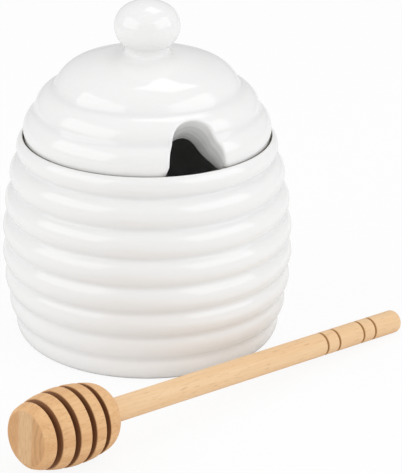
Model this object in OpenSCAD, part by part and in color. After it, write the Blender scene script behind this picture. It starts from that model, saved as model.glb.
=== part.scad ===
// Beehive honey pot: a ringed pot, a lid that lifts off and a wooden honey dipper beside it.
// Lengths are in millimetres. The origin is the middle of the pot's foot, on the table,
// with +Z up and the front of the pot towards -Y.

/* [Pot body] */
// Radius of the pot over the crowns of its widest rings
pot_widest_r = 50.1; // [46:0.1:54]
// Height of the widest place above the table
pot_widest_z = 34; // [28:0.5:40]
// Radius of the barrel curve below the widest place
barrel_low_arc_r = 101; // [85:1:160]
// Radius of the barrel curve above the widest place
barrel_high_arc_r = 120; // [100:1:180]
// Number of rings below the rim ring
ring_count = 7; // [6:1:8]
// Height of the lowest ring
ring_first_h = 8.5; // [7.8:0.1:9.2]
// How much taller each ring is than the ring below it
ring_growth = 0.27; // [0.1:0.01:0.4]
// Depth of the lowest groove, measured in from the rings
groove_first_depth = 1.5; // [1:0.05:1.8]
// How much deeper each groove is than the groove below it
groove_growth = 0.25; // [0.1:0.01:0.3]
// How far a ring's crown stands out beyond the mean depth of its two grooves
crown_rise = 0.1; // [0:0.05:0.2]
// Thickness of the pot's wall at the crown of a ring
pot_wall_t = 6.6; // [6:0.1:8]
// Thickness of the pot's floor
floor_t = 6; // [4:0.5:9]
// Radius of the inside corner between floor and wall
floor_corner_r = 10; // [4:0.5:14]
// Width of the ring that the pot stands on
foot_w = 4.5; // [3:0.5:8]
// Depth of the hollow under the floor
foot_recess = 1.2; // [0.6:0.1:2.5]

/* [Pot rim] */
// Height of the rim ring
rim_ring_h = 7.75; // [6.5:0.05:9]
// How far the rim ring bulges
rim_bulge = 2.1; // [1.6:0.1:2.3]
// How far the lip's edge stands in from the barrel curve
lip_inset = 1.2; // [0.8:0.1:1.8]
// Depth of the seat below the lip
seat_depth = 2.3; // [1.8:0.1:3]

/* [Lid] */
// Gap between the lid and the lip, all round
lid_clearance = 0.4; // [0.2:0.1:0.8]
// How far the lower groove stands in from the lid's edge
low_groove_in = 3.6; // [2.5:0.1:4.5]
// Height of the lower groove above the lid's seat
low_groove_h = 11.4; // [10:0.1:12.5]
// How far the upper groove stands in from the lid's edge
high_groove_in = 10.1; // [9:0.1:11.5]
// Height of the upper groove above the lid's seat
high_groove_h = 19.2; // [18:0.1:20.5]
// How far the lid's two lower rings bulge
lid_ring_bulge = 1.75; // [1.4:0.05:2.2]
// Height of the cap's top above the lid's seat
cap_top_h = 31.6; // [30:0.1:34]
// Radius of the flat dome on top of the cap
cap_dome_r = 70; // [60:1:110]
// Radius of the cap's rounded edge
cap_edge_r = 12.5; // [10:0.5:15]
// Thickness of the lid under its top
lid_top_t = 6; // [4.5:0.1:7]
// Thickness of the lid's wall at its straight edge
lid_wall_t = 11.4; // [10.8:0.1:12.5]
// Radius of the flare from that hollow out to the lid's rim
lid_flare_r = 12.2; // [12:0.1:16]
// Height of the flare above the lid's seat
lid_flare_h = 11; // [9:0.1:11.4]

/* [Lid knob] */
// Radius of the knob
knob_r = 11.2; // [9:0.1:13]
// Radius of the knob's rounded side
knob_side_r = 8.2; // [7.2:0.1:8.8]
// Radius of the knob's flatter top
knob_top_r = 16; // [14:0.5:24]
// Height of the knob's middle above the cap
knob_mid_h = 8.9; // [7.5:0.1:10]
// Radius of the neck under the knob
knob_neck_r = 7.6; // [6:0.1:8.4]

/* [Dipper notch] */
// Radius of the slanting cut in the lid's edge
notch_r = 9.6; // [8.6:0.1:10.4]
// Height above the lid's seat at which the cut's place is given
notch_h = 9.4; // [8:0.1:11]
// How far outside the lid's edge the cut has its middle at that height
notch_out = 0.1; // [0:0.1:3]
// Angle of the cut's middle from the front, to the right
notch_angle = 24.2; // [0:0.1:60]
// Angle between the cut and the upright
notch_lean = 25; // [10:0.5:32]
// Direction in which the cut leans, from the front to the right
notch_lean_dir = 50; // [0:1:70]

/* [Dipper head] */
// Greatest radius of the head
head_r = 12.7; // [11.8:0.1:14]
// Length of the head
head_len = 33.4; // [32.5:0.1:37]
// Distance from the front face to the head's widest place
head_widest_s = 16.4; // [15:0.1:18]
// Radius of the head's barrel curve
head_arc_r = 45; // [42:1:65]
// Radius of the rounded shoulder next to the handle
shoulder_r = 7.3; // [6.8:0.1:7.8]
// Distance from the front face to the first honey groove
groove_first_s = 3.8; // [3:0.1:4.4]
// Distance from one honey groove to the next
groove_pitch = 6.4; // [6:0.1:6.6]
// Number of honey grooves
groove_count = 4; // [2:1:4]
// Width of a honey groove
groove_w = 2.1; // [1.6:0.1:2.4]
// Radius of the wood left inside the grooves
groove_floor_r = 7.5; // [6.5:0.1:9]

/* [Dipper handle] */
// Length of the whole dipper
dipper_len = 168; // [150:1:180]
// Radius of the handle
handle_r = 4; // [3.5:0.1:4.5]
// Depth of the hole in the head that holds the handle
socket_depth = 16; // [12:0.5:24]
// Film of glue round the handle in its hole
glue_gap = 0.05; // [0.03:0.01:0.1]
// Rounding of the handle's far end
tip_round_r = 1.6; // [0.8:0.1:2.4]
// Distance from the far end to the first burnt line
line_first_s = 13.5; // [10:0.5:20]
// Distance between the two lines of a pair
line_gap = 5.8; // [4:0.1:8]
// Distance from one pair of lines to the next
line_pair_pitch = 17.8; // [15:0.1:22]
// Number of pairs of lines
line_pairs = 2; // [1:1:3]
// Width of a burnt line
line_w = 0.8; // [0.4:0.1:1.2]
// Depth of a burnt line
line_depth = 0.35; // [0.2:0.05:0.6]

/* [Dipper on the table] */
// Angle between the dipper and the front of the pot
dipper_yaw = 42.2; // [30:0.1:60]
// Gap between the handle and the pot's widest ring, seen from above
dipper_gap = 6; // [1:0.1:20]
// How far the handle's end lies past the place nearest to the pot
dipper_past = 62.4; // [30:0.1:90]

/* [Hidden] */
$fn = 120;

porcelain = [0.94, 0.94, 0.93];
head_wood = [0.78, 0.55, 0.34];
handle_wood = [0.89, 0.74, 0.55];

// Reach of a cut past the face that it opens
over = 5;
// Half the width of a sheet that covers one side of a section
sheet = 200;
// How far the lid's straight edge runs up inside its lower ring
lid_skirt_lap = 1;

// Barrel curve of the pot: the radius over the crowns at height z
function drop(arc_r, dz) = arc_r - sqrt(arc_r * arc_r - dz * dz);
function barrel_r(z) =
    pot_widest_r - drop(z < pot_widest_z ? barrel_low_arc_r : barrel_high_arc_r, z - pot_widest_z);

// Height of groove i, counted from the foot, and its place in the section
function groove_z(i) = i * ring_first_h + ring_growth * i * (i - 1) / 2;
function groove_depth(i) = groove_first_depth + groove_growth * i;
function groove_at(i) = [barrel_r(groove_z(i)) - groove_depth(i), groove_z(i)];
function ring_bulge(i) = (groove_depth(i) + groove_depth(i + 1)) / 2 + crown_rise;

// Circle through p and q that bulges from the line between them, outwards
function bulge_r(p, q, bulge) = (pow(norm(q - p) / 2, 2) + bulge * bulge) / (2 * bulge);
function outward(p, q) = [q.y - p.y, p.x - q.x] / norm(q - p);
function bulge_centre(p, q, bulge) = (p + q) / 2 - outward(p, q) * (bulge_r(p, q, bulge) - bulge);

// Rim, seat and lid edge, all from the barrel curve
lip_z = groove_z(ring_count) + rim_ring_h;
lip_r = barrel_r(lip_z) - lip_inset;
lip_at = [lip_r, lip_z];
seat_z = lip_z - seat_depth;
lid_edge_r = lip_r - lid_clearance;
lid_edge_at = [lid_edge_r, lip_z];
lid_hollow_r = lid_edge_r - lid_wall_t;
low_groove_at = [lid_edge_r - low_groove_in, seat_z + low_groove_h];
high_groove_at = [lid_edge_r - high_groove_in, seat_z + high_groove_h];

// Cap: a flat dome, and a rounded edge that meets the dome smoothly and ends in the upper groove
cap_top_z = seat_z + cap_top_h;
dome_at = [0, cap_top_z - cap_dome_r];
dome_to_groove = norm(high_groove_at - dome_at);
edge_reach = cap_dome_r - cap_edge_r;
edge_along = (edge_reach * edge_reach - cap_edge_r * cap_edge_r + pow(dome_to_groove, 2))
    / (2 * dome_to_groove);
edge_aside = sqrt(edge_reach * edge_reach - edge_along * edge_along);
groove_way = (high_groove_at - dome_at) / dome_to_groove;
cap_edge_at = dome_at + edge_along * groove_way + edge_aside * [-groove_way.y, groove_way.x];
dome_end_r = cap_edge_at.x * cap_dome_r / edge_reach;

// Vault over the lid's hollow: it starts level with the lower groove and rises to the lid's top
vault_h = cap_top_h - lid_top_t - low_groove_h;
vault_r = (lid_hollow_r * lid_hollow_r + vault_h * vault_h) / (2 * vault_h);
vault_z = cap_top_z - lid_top_t - vault_r;
flare_at = [lid_hollow_r + lid_flare_r, seat_z + lid_flare_h];

// Knob: the rounded side, the flatter top that meets it smoothly and the neck under it
knob_mid_z = cap_top_z + knob_mid_h;
knob_side_in = knob_r - knob_side_r;
knob_reach = knob_top_r - knob_side_r;
knob_top_z = knob_mid_z - sqrt(knob_reach * knob_reach - knob_side_in * knob_side_in) + knob_top_r;
knob_top_end_r = knob_side_in * knob_top_r / knob_reach;
neck_top_z = knob_mid_z - sqrt(knob_side_r * knob_side_r - pow(knob_neck_r - knob_side_in, 2));
neck_low_z = cap_top_z - lid_top_t / 2;

// Head of the dipper: distances s run from the front face along the axis
head_curve_in = head_r - head_arc_r;
shoulder_s = head_len - shoulder_r;
shoulder_reach = head_arc_r - shoulder_r;
shoulder_in = head_curve_in + sqrt(pow(shoulder_reach, 2) - pow(shoulder_s - head_widest_s, 2));
shoulder_end_s = head_widest_s + (shoulder_s - head_widest_s) * head_arc_r / shoulder_reach;
socket_s = head_len - socket_depth;

// The dipper lies on the widest part of its head and on the handle's rounded end
lie_along = dipper_len - tip_round_r - head_widest_s;
lie_aside = head_curve_in - handle_r + tip_round_r;
dipper_tilt = asin((head_arc_r - tip_round_r) / norm([lie_along, lie_aside]))
    + atan2(lie_aside, lie_along);
face_z = head_widest_s * sin(dipper_tilt) + head_curve_in * cos(dipper_tilt) + head_arc_r;
dipper_aside = pot_widest_r + dipper_gap + handle_r;
dipper_back = dipper_past - dipper_len * cos(dipper_tilt);

// Section of the pot with its rings, before it is hollowed
module pot_outline() {
    intersection() {
        union() {
            for (i = [0 : ring_count - 1]) ring_disc(groove_at(i), groove_at(i + 1), ring_bulge(i));
            ring_disc(groove_at(ring_count), lip_at, rim_bulge);
            polygon(concat(
                [[0, 0]],
                [for (i = [0 : ring_count]) groove_at(i)],
                [lip_at, [0, lip_z]]
            ));
        }
        square([sheet, sheet]);
    }
}

// Disc whose edge is one bulging ring between two grooves
module ring_disc(p, q, bulge) {
    translate(bulge_centre(p, q, bulge)) circle(r = bulge_r(p, q, bulge));
}

// One half of the pot's hollow, above or below the widest place
module hollow_part(arc_r, z_low, z_high) {
    intersection() {
        translate([pot_widest_r - arc_r, pot_widest_z]) circle(r = arc_r - pot_wall_t);
        translate([0, z_low]) square([sheet, z_high - z_low]);
    }
}

// Section of the pot's hollow with its rounded floor corner
module pot_hollow() {
    corner_z = floor_t + floor_corner_r;
    corner_r = barrel_r(corner_z) - pot_wall_t - floor_corner_r;
    difference() {
        union() {
            hollow_part(barrel_low_arc_r, floor_t, pot_widest_z);
            hollow_part(barrel_high_arc_r, pot_widest_z, seat_z + over);
        }
        difference() {
            translate([corner_r, floor_t - over]) square([sheet, floor_corner_r + over]);
            translate([corner_r, corner_z]) circle(r = floor_corner_r);
        }
    }
}

// The pot: hollowed, with a seat for the lid inside its lip and a low hollow under its floor
module pot() {
    color(porcelain) rotate_extrude() difference() {
        pot_outline();
        pot_hollow();
        translate([0, seat_z]) square([lip_r, seat_depth + sheet]);
        translate([0, -over]) square([groove_at(0).x - foot_w, foot_recess + over]);
    }
}

// Section of the knob
module knob_outline() {
    translate([knob_side_in, knob_mid_z]) circle(r = knob_side_r);
    translate([0, knob_mid_z - knob_side_r]) square([knob_side_in, knob_side_r]);
    translate([0, neck_low_z]) square([knob_neck_r, neck_top_z - neck_low_z]);
    intersection() {
        translate([0, knob_top_z - knob_top_r]) circle(r = knob_top_r);
        translate([0, knob_mid_z]) square([knob_top_end_r, sheet]);
    }
}

// Section of the lid with its edge, two rings, cap and knob, before it is hollowed
module lid_outline() {
    translate([0, seat_z]) square([lid_edge_r, seat_depth + lid_skirt_lap]);
    ring_disc(lid_edge_at, low_groove_at, lid_ring_bulge);
    ring_disc(low_groove_at, high_groove_at, lid_ring_bulge);
    translate(cap_edge_at) circle(r = cap_edge_r);
    intersection() {
        translate(dome_at) circle(r = cap_dome_r);
        translate([0, cap_edge_at.y]) square([dome_end_r, sheet]);
    }
    knob_outline();
}

// Section of the lid's hollow: a straight wall under a vault, and a flare towards the rim
module lid_hollow() {
    intersection() {
        translate([0, vault_z]) circle(r = vault_r);
        translate([0, flare_at.y]) square([lid_hollow_r, sheet]);
    }
    difference() {
        translate([0, seat_z - over]) square([flare_at.x, lid_flare_h + over]);
        translate(flare_at) circle(r = lid_flare_r);
    }
}

// The lid: one shell with its knob, and the slanting cut in its edge that the dipper passes through
module lid() {
    color(porcelain) difference() {
        rotate_extrude() difference() {
            intersection() {
                lid_outline();
                translate([0, seat_z]) square([sheet, sheet]);
            }
            lid_hollow();
        }
        rotate([0, 0, notch_angle]) translate([0, -lid_edge_r - notch_out, seat_z + notch_h])
            rotate([0, 0, notch_lean_dir - notch_angle]) rotate([notch_lean, 0, 0])
                translate([0, 0, -cap_top_h]) cylinder(r = notch_r, h = 2 * cap_top_h);
    }
}

// Puts a piece that stands on its front face, along +Z, where the dipper lies
module lying_dipper() {
    rotate([0, 0, dipper_yaw]) translate([dipper_back, -dipper_aside, face_z])
        rotate([0, 90 + dipper_tilt, 0]) children();
}

// Section of the head: barrel, rounded shoulder, honey grooves and the hole for the handle
module head_outline() {
    difference() {
        union() {
            intersection() {
                translate([head_curve_in, head_widest_s]) circle(r = head_arc_r);
                square([sheet, shoulder_end_s]);
            }
            intersection() {
                translate([shoulder_in, shoulder_s]) circle(r = shoulder_r);
                square([sheet, head_len]);
            }
        }
        for (i = [0 : groove_count - 1])
            translate([groove_floor_r, groove_first_s + i * groove_pitch]) square([sheet, groove_w]);
        translate([0, socket_s]) square([handle_r + glue_gap, socket_depth + over]);
    }
}

module dipper_head() {
    color(head_wood) lying_dipper() rotate_extrude() head_outline();
}

// Section of the handle, from the bottom of its hole in the head to its rounded far end
module handle_outline() {
    body_len = dipper_len - tip_round_r - socket_s;
    difference() {
        union() {
            translate([0, socket_s]) square([handle_r, body_len]);
            translate([0, socket_s]) square([handle_r - tip_round_r, body_len + tip_round_r]);
            translate([handle_r - tip_round_r, dipper_len - tip_round_r]) circle(r = tip_round_r);
        }
        for (pair = [0 : line_pairs - 1], side = [0, 1])
            translate([handle_r - line_depth, dipper_len - line_first_s - pair * line_pair_pitch
                - side * line_gap - line_w / 2]) square([line_depth + over, line_w]);
    }
}

module dipper_handle() {
    color(handle_wood) lying_dipper() rotate_extrude() handle_outline();
}

pot();
lid();
dipper_head();
dipper_handle();
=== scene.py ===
"""Dresses the beehive honey pot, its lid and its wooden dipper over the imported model."""

from __future__ import annotations

import logging
import math
from dataclasses import dataclass, field
from enum import Enum
from functools import cached_property
from typing import Sequence

import bpy
import numpy as np
from mathutils import Matrix, Vector


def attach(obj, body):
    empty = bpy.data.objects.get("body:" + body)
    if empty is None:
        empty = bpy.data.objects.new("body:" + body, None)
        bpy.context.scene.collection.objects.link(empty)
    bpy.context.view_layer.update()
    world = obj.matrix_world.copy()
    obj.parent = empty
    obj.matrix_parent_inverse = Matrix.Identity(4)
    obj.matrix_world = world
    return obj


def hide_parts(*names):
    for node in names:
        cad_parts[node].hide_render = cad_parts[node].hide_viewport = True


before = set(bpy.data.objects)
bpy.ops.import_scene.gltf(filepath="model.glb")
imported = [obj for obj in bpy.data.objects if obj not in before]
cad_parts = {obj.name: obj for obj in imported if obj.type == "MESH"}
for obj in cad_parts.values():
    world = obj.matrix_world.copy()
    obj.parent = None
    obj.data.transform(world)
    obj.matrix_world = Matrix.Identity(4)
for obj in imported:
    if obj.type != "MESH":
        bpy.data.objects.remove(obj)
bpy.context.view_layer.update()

LOG = logging.getLogger("honey_pot")
MM = 0.001
TINY = 1e-6
Point = tuple[float, float]
Colour = tuple[float, float, float]


class Slot(Enum):
    """Material slots of the record."""

    PORCELAIN = "porcelain"
    HEAD_WOOD = "head_wood"
    HANDLE_WOOD = "handle_wood"


def solid(colour: Colour) -> tuple[float, float, float, float]:
    """The colour with full opacity."""
    return (*colour, 1.0)


# Half sections


def polyline_lengths(points: np.ndarray) -> np.ndarray:
    """Distance along a polyline at each of its points.

    Args:
        points: One row per point.

    Returns:
        The running length, from zero.
    """
    steps = np.linalg.norm(np.diff(points, axis=0), axis=1)
    return np.concatenate([[0.0], np.cumsum(steps)])


def polyline_at(points: np.ndarray, where: np.ndarray) -> np.ndarray:
    """Points of a polyline at given distances along it.

    Args:
        points: One row per point.
        where: Distances along the polyline.

    Returns:
        One row per distance.
    """
    along = polyline_lengths(points)
    return np.stack([np.interp(where, along, points[:, k]) for k in range(points.shape[1])], axis=1)


@dataclass
class Outline:
    """A half section in millimetres, drawn as lines and arcs whose corners are softened."""

    start: Point
    step: float = 0.08
    runs: list[np.ndarray] = field(default_factory=list)
    reaches: list[float] = field(default_factory=list)

    def end(self) -> np.ndarray:
        """The point where the outline ends so far."""
        return self.runs[-1][-1] if self.runs else np.array(self.start, float)

    def line(self, to: Sequence[float], soft: float = 0.0) -> "Outline":
        """Draws a straight line.

        Args:
            to: Radius and height of its end.
            soft: Reach of the rounding at its end.

        Returns:
            The outline itself.
        """
        return self.bulge(to, 0.0, soft)

    def bulge(self, to: Sequence[float], sag: float, soft: float = 0.0) -> "Outline":
        """Draws an arc over a chord, which stands out to the right of it.

        Args:
            to: Radius and height of its end.
            sag: How far it stands out from its chord.
            soft: Reach of the rounding at its end.

        Returns:
            The outline itself.
        """
        a, b = self.end(), np.array(to, float)
        chord = np.linalg.norm(b - a)
        count = max(int(chord / self.step), 2)
        t = np.linspace(0.0, 1.0, count + 1)[:, None]
        if abs(sag) < TINY:
            run = a + t * (b - a)
        else:
            radius = (chord * chord / 4 + sag * sag) / (2 * abs(sag))
            way = (b - a) / chord
            out = np.array([way[1], -way[0]]) * math.copysign(1.0, sag)
            centre = (a + b) / 2 - out * (radius - abs(sag))
            half = math.asin(min(chord / 2 / radius, 1.0))
            if abs(sag) > radius:
                half = math.pi - half
            angle = (2 * t - 1) * half
            run = centre + radius * (np.sin(angle) * way + np.cos(angle) * out)
        return self.curve(run, soft)

    def curve(self, points: np.ndarray, soft: float = 0.0) -> "Outline":
        """Adds a run of points.

        Args:
            points: One row per point: radius and height.
            soft: Reach of the rounding at its end.

        Returns:
            The outline itself.
        """
        self.runs.append(points)
        self.reaches.append(soft)
        return self

    def arc(
        self,
        centre: Sequence[float],
        radius: float,
        first: float,
        last: float,
        soft: float = 0.0,
        count: int = 60,
    ) -> "Outline":
        """Draws an arc round a centre.

        Args:
            centre: Radius and height of the centre.
            radius: Radius of the arc.
            first: Angle of its first point, in radians from outwards towards upwards.
            last: Angle of its last point.
            soft: Reach of the rounding at its end.
            count: Number of its points.

        Returns:
            The outline itself.
        """
        angle = np.linspace(first, last, count)
        return self.curve(np.array(centre) + radius * np.column_stack([np.cos(angle), np.sin(angle)]), soft)

    def points(self) -> np.ndarray:
        """The outline as a fine polyline.

        Returns:
            One row per point: radius and height.
        """
        done = [self.runs[0]]
        for k in range(1, len(self.runs)):
            before, after = done[-1], self.runs[k]
            reach = self.reaches[k - 1]
            if reach > 0:
                before, bend, after = self._soften(before, after, reach)
                done[-1] = before
                done.append(bend)
            done.append(after[1:] if np.allclose(after[0], done[-1][-1]) else after)
        joined = np.concatenate(done)
        keep = np.concatenate([[True], np.linalg.norm(np.diff(joined, axis=0), axis=1) > TINY])
        return joined[keep]

    def _soften(
        self, before: np.ndarray, after: np.ndarray, reach: float
    ) -> tuple[np.ndarray, np.ndarray, np.ndarray]:
        """Replaces the corner between two runs by a smooth bend.

        Args:
            before: The run that ends at the corner.
            after: The run that starts there.
            reach: Length that the bend takes from each run.

        Returns:
            The shortened first run, the bend and the shortened second run.
        """
        la, lb = polyline_lengths(before), polyline_lengths(after)
        ra, rb = min(reach, la[-1] * 0.49), min(reach, lb[-1] * 0.49)
        probe, fullness = 0.02, 0.55
        a = polyline_at(before, np.array([la[-1] - ra - probe, la[-1] - ra]))
        b = polyline_at(after, np.array([rb, rb + probe]))
        way_a = (a[1] - a[0]) / np.linalg.norm(a[1] - a[0])
        way_b = (b[1] - b[0]) / np.linalg.norm(b[1] - b[0])
        hold = fullness * (ra + rb) / 2
        p = [a[1], a[1] + way_a * hold, b[0] - way_b * hold, b[0]]
        t = np.linspace(0.0, 1.0, max(int((ra + rb) / self.step), 8))[:, None]
        bend = (1 - t) ** 3 * p[0] + 3 * t * (1 - t) ** 2 * p[1] + 3 * t * t * (1 - t) * p[2] + t**3 * p[3]
        return before[la < la[-1] - ra - TINY], bend, after[lb > rb + TINY]


# Meshes


def new_object(name: str, verts: np.ndarray, faces: list[tuple[int, ...]]) -> bpy.types.Object:
    """Makes a smooth mesh object.

    Args:
        name: Name of the object.
        verts: One row per vertex, in metres.
        faces: Vertex numbers of each face.

    Returns:
        The object, linked to the scene.
    """
    mesh = bpy.data.meshes.new(name)
    mesh.from_pydata(verts.tolist(), [], faces)
    mesh.validate()
    mesh.shade_smooth()
    obj = bpy.data.objects.new(name, mesh)
    bpy.context.scene.collection.objects.link(obj)
    return obj


def set_mark(obj: bpy.types.Object, name: str, values: np.ndarray) -> None:
    """Stores values with the vertices of a mesh, for its material to read.

    Args:
        obj: The mesh object.
        name: Name of the attribute.
        values: A number for each vertex, or a vector.
    """
    kind, part = ("FLOAT", "value") if values.ndim == 1 else ("FLOAT_VECTOR", "vector")
    layer = obj.data.attributes.new(name, kind, "POINT")
    layer.data.foreach_set(part, values.astype(np.float32).ravel())


def groove_share(radial: np.ndarray, heights: np.ndarray, grooves: Sequence[Point]) -> np.ndarray:
    """How far points lie in any of several grooves.

    Args:
        radial: Distance of each point from the axis.
        heights: Height of each point.
        grooves: Radius and height of each groove's bottom.

    Returns:
        A share from 0 to 1 for each point.
    """
    reach, fall = 2.2, 1.5
    share = np.zeros(len(radial))
    for r, z in grooves:
        away = np.hypot(radial - r, heights - z)
        share = np.maximum(share, np.clip(1 - away / reach, 0, 1) ** fall)
    return share


def shell_faces(rows: int, columns: int) -> list[tuple[int, ...]]:
    """Faces of a closed shell round an axis, between a first and a last vertex that lie on it.

    Args:
        rows: Number of rows of vertices that run round the axis.
        columns: Vertices in each row.

    Returns:
        Faces whose normals look away from the axis where the rows go up.
    """
    quads = [
        (
            1 + r * columns + c,
            1 + r * columns + (c + 1) % columns,
            1 + (r + 1) * columns + (c + 1) % columns,
            1 + (r + 1) * columns + c,
        )
        for r in range(rows - 1)
        for c in range(columns)
    ]
    last, top = 1 + rows * columns, 1 + (rows - 1) * columns
    start_cap = [(0, 1 + (c + 1) % columns, 1 + c) for c in range(columns)]
    end_cap = [(last, top + c, top + (c + 1) % columns) for c in range(columns)]
    return quads + start_cap + end_cap


def turned(
    name: str, section: np.ndarray, columns: int, spacing: float, marks: dict[str, np.ndarray] | None = None
) -> bpy.types.Object:
    """Turns a half section round the Z axis.

    Args:
        name: Name of the object.
        section: Radius and height along the section, in millimetres, from axis to axis.
        columns: Number of vertices round the axis.
        spacing: Distance between rows along the section, in millimetres.
        marks: Values along the section that become attributes of the mesh.

    Returns:
        The closed mesh object.
    """
    along = polyline_lengths(section)
    count = max(int(along[-1] / spacing), 8)
    where = np.linspace(0.0, along[-1], count + 1)
    rows = polyline_at(section, where)
    inner = rows[1:-1]
    angle = np.arange(columns) * 2 * math.pi / columns
    ring = np.stack([np.cos(angle), np.sin(angle)], axis=1)
    level = np.repeat(inner[:, None, 1:], columns, axis=1)
    body = np.concatenate([inner[:, None, :1] * ring[None], level], axis=2)
    verts = np.concatenate([[[0, 0, rows[0, 1]]], body.reshape(-1, 3), [[0, 0, rows[-1, 1]]]]) * MM
    obj = new_object(name, verts, shell_faces(len(inner), columns))
    for mark, values in (marks or {}).items():
        row_values = np.interp(where, along, values)
        spread = np.repeat(row_values[1:-1], columns)
        set_mark(obj, mark, np.concatenate([row_values[:1], spread, row_values[-1:]]))
    return obj


# Shader tools


@dataclass
class Nodes:
    """A short way to add and link the nodes of one tree."""

    tree: bpy.types.NodeTree

    def add(self, kind: str, **settings: object) -> bpy.types.Node:
        """Adds a node.

        Args:
            kind: Blender's name of the node type.
            settings: Properties to set on it.

        Returns:
            The node.
        """
        node = self.tree.nodes.new(kind)
        for name, value in settings.items():
            setattr(node, name, value)
        return node

    def link(self, source: bpy.types.NodeSocket, target: bpy.types.NodeSocket) -> None:
        """Links two sockets."""
        self.tree.links.new(source, target)

    def feed(self, socket: bpy.types.NodeSocket, value: object) -> None:
        """Links a socket to a socket, or sets it to a plain value.

        Args:
            socket: The input.
            value: Another socket or a value.
        """
        if isinstance(value, bpy.types.NodeSocket):
            self.link(value, socket)
        else:
            socket.default_value = value

    def maths(self, operation: str, a: object, b: object = 0.0) -> bpy.types.NodeSocket:
        """Adds a Math node.

        Args:
            operation: Name of the sum to do.
            a: First value.
            b: Second value, where the sum has one.

        Returns:
            Its output.
        """
        node = self.add("ShaderNodeMath", operation=operation)
        self.feed(node.inputs[0], a)
        self.feed(node.inputs[1], b)
        return node.outputs[0]

    def mix(self, share: object, a: object, b: object) -> bpy.types.NodeSocket:
        """Adds a Mix node for colours.

        Args:
            share: How much of the second colour, from 0 to 1.
            a: First colour.
            b: Second colour.

        Returns:
            Its output.
        """
        node = self.add("ShaderNodeMix", data_type="RGBA")
        self.feed(node.inputs[0], share)
        self.feed(node.inputs[6], a)
        self.feed(node.inputs[7], b)
        return node.outputs[2]

    def span(
        self, value: object, low: float, high: float, to_low: float = 0.0, to_high: float = 1.0
    ) -> bpy.types.NodeSocket:
        """Adds a Map Range node that eases between two levels.

        Args:
            value: The value to map.
            low: Where the easing starts.
            high: Where it ends.
            to_low: Result up to its start.
            to_high: Result from its end.

        Returns:
            Its output.
        """
        node = self.add("ShaderNodeMapRange", interpolation_type="SMOOTHSTEP")
        self.feed(node.inputs["Value"], value)
        for name, number in (("From Min", low), ("From Max", high), ("To Min", to_low), ("To Max", to_high)):
            self.feed(node.inputs[name], number)
        return node.outputs["Result"]

    def noise(
        self, where: object, scale: object, detail: float = 2.0, rough: float = 0.5
    ) -> bpy.types.NodeSocket:
        """Adds a Noise Texture.

        Args:
            where: The place that it is looked up at.
            scale: Its scale.
            detail: Number of finer layers.
            rough: Strength of the finer layers.

        Returns:
            Its value.
        """
        node = self.add("ShaderNodeTexNoise")
        self.feed(node.inputs["Vector"], where)
        self.feed(node.inputs["Scale"], scale)
        self.feed(node.inputs["Detail"], detail)
        self.feed(node.inputs["Roughness"], rough)
        return node.outputs["Fac"]

    def stretched(self, where: object, scale: Sequence[float]) -> bpy.types.NodeSocket:
        """Adds a node that scales a vector.

        Args:
            where: The vector.
            scale: One number for each axis.

        Returns:
            Its output.
        """
        node = self.add("ShaderNodeVectorMath", operation="MULTIPLY")
        self.feed(node.inputs[0], where)
        self.feed(node.inputs[1], tuple(scale))
        return node.outputs[0]

    def mark(self, name: str) -> bpy.types.NodeSocket:
        """Adds an Attribute node and returns its value."""
        return self.add("ShaderNodeAttribute", attribute_name=name).outputs["Fac"]

    def bump(self, height: bpy.types.NodeSocket, shader: bpy.types.Node) -> None:
        """Lets a height in metres shape the normals of a shader.

        Args:
            height: The height.
            shader: The shader node.
        """
        node = self.add("ShaderNodeBump")
        node.inputs["Distance"].default_value = 1.0
        self.link(height, node.inputs["Height"])
        self.link(node.outputs[0], shader.inputs["Normal"])


def new_group(name: str, inputs: dict[str, tuple[str, object]], outputs: dict[str, str]) -> tuple:
    """Starts a shader node group with named sockets.

    Args:
        name: Name of the group.
        inputs: Socket type and default value of each input.
        outputs: Socket type of each output.

    Returns:
        The group, its node tool, its input node and its output node.
    """
    tree = bpy.data.node_groups.new(name, "ShaderNodeTree")
    for label, (kind, value) in inputs.items():
        tree.interface.new_socket(label, in_out="INPUT", socket_type=kind).default_value = value
    for label, kind in outputs.items():
        tree.interface.new_socket(label, in_out="OUTPUT", socket_type=kind)
    nodes = Nodes(tree)
    return tree, nodes, nodes.add("NodeGroupInput"), nodes.add("NodeGroupOutput")


def place_group(nodes: Nodes, tree: bpy.types.NodeTree, values: dict[str, object]) -> bpy.types.Node:
    """Places a group in a material.

    Args:
        nodes: The material's node tool.
        tree: The group.
        values: Values or sockets for its inputs.

    Returns:
        The group node.
    """
    node = nodes.add("ShaderNodeGroup", node_tree=tree)
    for label, value in values.items():
        nodes.feed(node.inputs[label], value)
    return node


def new_material(name: str) -> tuple[bpy.types.Material, Nodes, bpy.types.Node]:
    """Starts a material with one Principled BSDF.

    Args:
        name: Name of the material.

    Returns:
        The material, its node tool and the Principled BSDF.
    """
    material = bpy.data.materials.new(name)
    material.use_nodes = True
    material.node_tree.nodes.clear()
    nodes = Nodes(material.node_tree)
    shader = nodes.add("ShaderNodeBsdfPrincipled")
    out = nodes.add("ShaderNodeOutputMaterial")
    nodes.link(shader.outputs[0], out.inputs[0])
    return material, nodes, shader


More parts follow.
